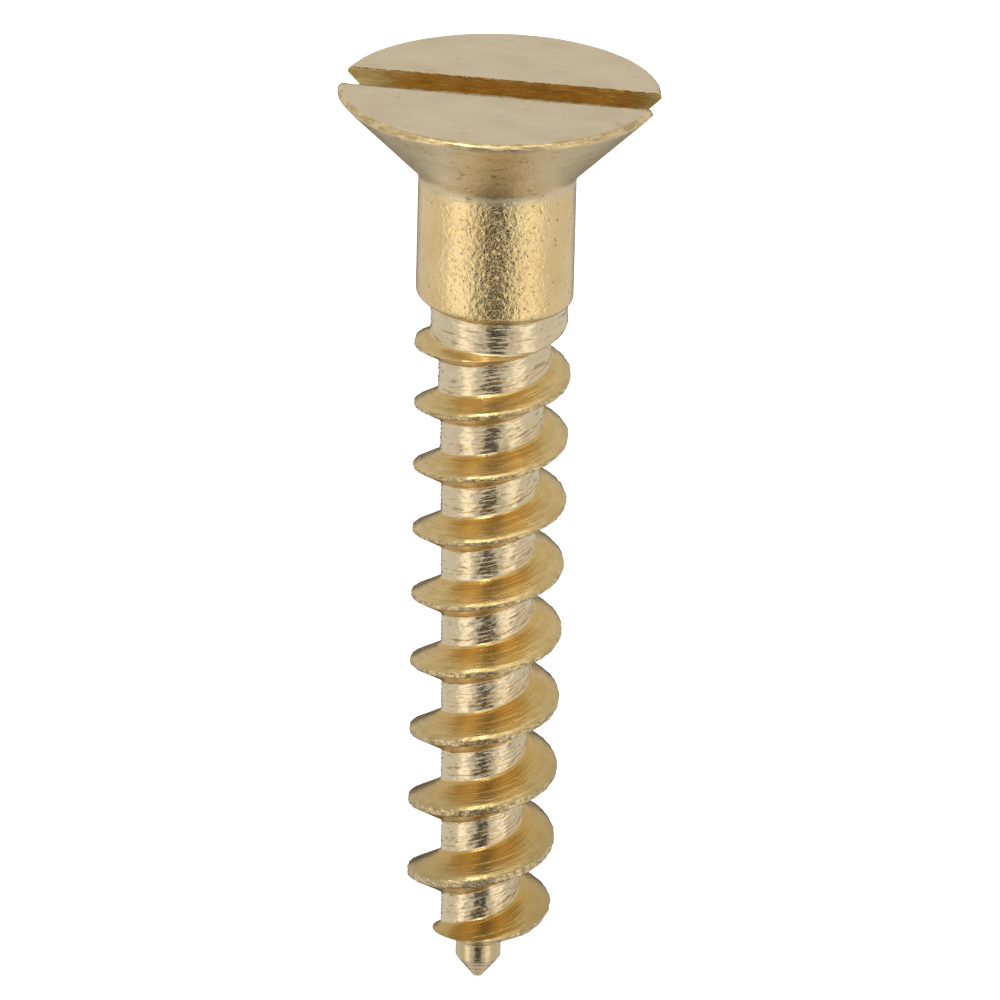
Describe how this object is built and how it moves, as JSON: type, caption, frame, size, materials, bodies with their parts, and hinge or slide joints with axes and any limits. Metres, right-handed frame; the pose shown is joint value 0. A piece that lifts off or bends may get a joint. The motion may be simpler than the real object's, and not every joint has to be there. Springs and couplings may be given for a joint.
{
  "type": "wood screw",
  "caption": "Slotted countersunk wood screw in solid brass, with a plain shank, a cut right-hand thread and a short gimlet point.",
  "frame": {"origin": "centre of the head's flat top, in the mouth of the driving slot", "axes": "+Z along the screw's axis, out of the head; +X along the driving slot; the point is at -Z"},
  "size_m": [0.0084, 0.0084, 0.0254],
  "materials": {
    "brass": "satin, tumbled"
  },
  "bodies": {
    "root": {"wood_screw": "brass"}
  },
  "joints": []
}
